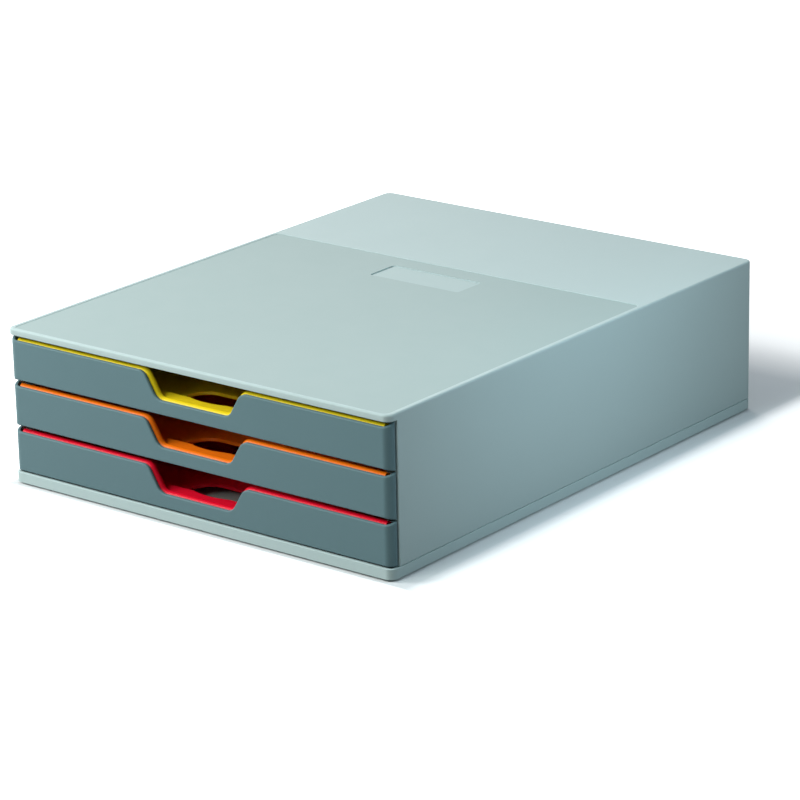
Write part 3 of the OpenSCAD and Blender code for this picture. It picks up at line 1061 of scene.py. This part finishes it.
def make_lamps(scene):
    """Two from the front left, weaker ones above and behind, and a small one on the right wall"""
    middle = (0, 0, 0.05)
    for name, place, aim, size, power, colour in (
        ("front", (-0.25, -1.45, 1.15), middle, 0.8, 15.5, (0.9, 1, 0.97)),
        ("left", (-0.8, -0.7, 0.7), middle, 0.5, 9.8, (1, 1, 1)),
        ("above", (0, 0, 1.6), middle, 1.0, 5, (0.74, 0.87, 1)),
        ("behind", (-1, 0.9, 1), middle, 0.8, 5.7, (1, 0.96, 0.92)),
        ("wall", (0.38, 0, 0.2), (0.14, 0, 0.05), 0.15, 0.47, (0.72, 0.91, 1)),
    ):
        lamp = bpy.data.lights.new(name, "AREA")
        lamp.size = size
        lamp.energy = power
        lamp.color = colour
        holder = bpy.data.objects.new(name, lamp)
        holder.location = place
        holder.rotation_euler = (Vector(aim) - Vector(place)).to_track_quat("-Z", "Y").to_euler()
        holder.visible_camera = False
        scene.collection.objects.link(holder)


def make_camera(scene):
    """From the front right, a little above, with a long lens"""
    yaw, pitch, roll = math.radians(38.36), math.radians(18.57), math.radians(-1.21)
    aim, distance = Vector((0.0069, 0, 0.0295)), 2.1118
    back = Vector(
        (math.sin(yaw) * math.cos(pitch), -math.cos(yaw) * math.cos(pitch), math.sin(pitch))
    )
    level = Vector((math.cos(yaw), math.sin(yaw), 0))
    rise = back.cross(level)
    right = math.cos(roll) * level + math.sin(roll) * rise
    up = math.cos(roll) * rise - math.sin(roll) * level
    camera = bpy.data.objects.new("camera", bpy.data.cameras.new("camera"))
    camera.data.sensor_width = 36
    camera.data.lens = 159.96
    camera.data.clip_end = 50
    camera.matrix_world = Matrix.Translation(aim + back * distance) @ (
        Matrix((right, up, back)).transposed().to_4x4()
    )
    scene.collection.objects.link(camera)
    scene.camera = camera


# Operators, panel and registration


class DeskBoxOperator:
    """Shared settings of the operators below"""

    bl_options = {"REGISTER", "UNDO"}

    def execute(self, context):
        scene = context.scene
        self.make(scene.desk_box_sizes, scene.desk_box_drawer_sizes, scene.desk_box_colours)
        return {"FINISHED"}


class DESKBOX_OT_stage(DeskBoxOperator, bpy.types.Operator):
    """Sets up the floor, the lamps and the camera"""

    bl_idname = "desk_box.stage"
    bl_label = "Stage"

    def make(self, sizes, drawer_sizes, colours):
        scene = bpy.context.scene
        scene.view_settings.view_transform = "Standard"
        make_world(scene)
        make_floor(scene)
        make_lamps(scene)
        make_camera(scene)


class DESKBOX_OT_housing(DeskBoxOperator, bpy.types.Operator):
    """Makes the housing with its recessed top"""

    bl_idname = "desk_box.housing"
    bl_label = "Housing"

    def make(self, sizes, drawer_sizes, colours):
        make_housing(sizes, colours)


class DESKBOX_OT_base(DeskBoxOperator, bpy.types.Operator):
    """Makes the base under the housing"""

    bl_idname = "desk_box.base"
    bl_label = "Base"

    def make(self, sizes, drawer_sizes, colours):
        make_base(sizes, colours)


class DESKBOX_OT_badge(DeskBoxOperator, bpy.types.Operator):
    """Makes the bare badge plate in the top"""

    bl_idname = "desk_box.badge"
    bl_label = "Badge Plate"

    def make(self, sizes, drawer_sizes, colours):
        make_badge(sizes, colours)


class DESKBOX_OT_fronts(DeskBoxOperator, bpy.types.Operator):
    """Makes the three drawer fronts"""

    bl_idname = "desk_box.fronts"
    bl_label = "Drawer Fronts"

    def make(self, sizes, drawer_sizes, colours):
        material = moulded("front_plastic", colours.front, 2000, 0.00003, 0.46)
        for which in DRAWERS:
            make_front(which, drawer_sizes, sizes, material)


class DESKBOX_OT_trays(DeskBoxOperator, bpy.types.Operator):
    """Makes the three coloured trays"""

    bl_idname = "desk_box.trays"
    bl_label = "Trays"

    def make(self, sizes, drawer_sizes, colours):
        for which, name in zip(DRAWERS, ("red", "orange", "yellow")):
            material = glossy_plastic(f"{name}_plastic", getattr(colours, name))
            make_tray(which, drawer_sizes, material)


class DESKBOX_OT_hardware(DeskBoxOperator, bpy.types.Operator):
    """Dresses the rails, the feet and the base screws"""

    bl_idname = "desk_box.hardware"
    bl_label = "Rails, Feet and Screws"

    def make(self, sizes, drawer_sizes, colours):
        rail = moulded("rail_plastic", colours.rail, 1800, 0.000012, 0.34, 0.04)
        foot = rubber("foot_rubber", colours.foot)
        screw = plated_steel("screw_steel", colours.screw)
        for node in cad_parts:
            if node.startswith("rail_"):
                dress(node, rail)
            elif node.startswith("foot_"):
                dress(node, foot)
            elif node == "base_screws":
                dress(node, screw)


class DESKBOX_PT_pieces(bpy.types.Panel):
    """Lists the pieces of the desk box"""

    bl_idname = "DESKBOX_PT_pieces"
    bl_label = "Desk Box"
    bl_space_type = "VIEW_3D"
    bl_region_type = "UI"
    bl_category = "Desk Box"

    def draw(self, context):
        for operator in OPERATORS:
            self.layout.operator(operator.bl_idname)


OPERATORS = (
    DESKBOX_OT_stage,
    DESKBOX_OT_housing,
    DESKBOX_OT_base,
    DESKBOX_OT_badge,
    DESKBOX_OT_fronts,
    DESKBOX_OT_trays,
    DESKBOX_OT_hardware,
)
GROUPS = (
    ("desk_box_sizes", DeskBoxSizes),
    ("desk_box_drawer_sizes", DeskBoxDrawerSizes),
    ("desk_box_colours", DeskBoxColours),
)


def register():
    for name, group in GROUPS:
        bpy.utils.register_class(group)
        setattr(bpy.types.Scene, name, PointerProperty(type=group))
    for each in (*OPERATORS, DESKBOX_PT_pieces):
        bpy.utils.register_class(each)


def unregister():
    for each in reversed((*OPERATORS, DESKBOX_PT_pieces)):
        bpy.utils.unregister_class(each)
    for name, group in reversed(GROUPS):
        delattr(bpy.types.Scene, name)
        bpy.utils.unregister_class(group)


def main():
    register()
    for operator in OPERATORS:
        getattr(bpy.ops.desk_box, operator.bl_idname.split(".")[1])()
    bpy.context.view_layer.update()


if __name__ == "__main__":
    main()
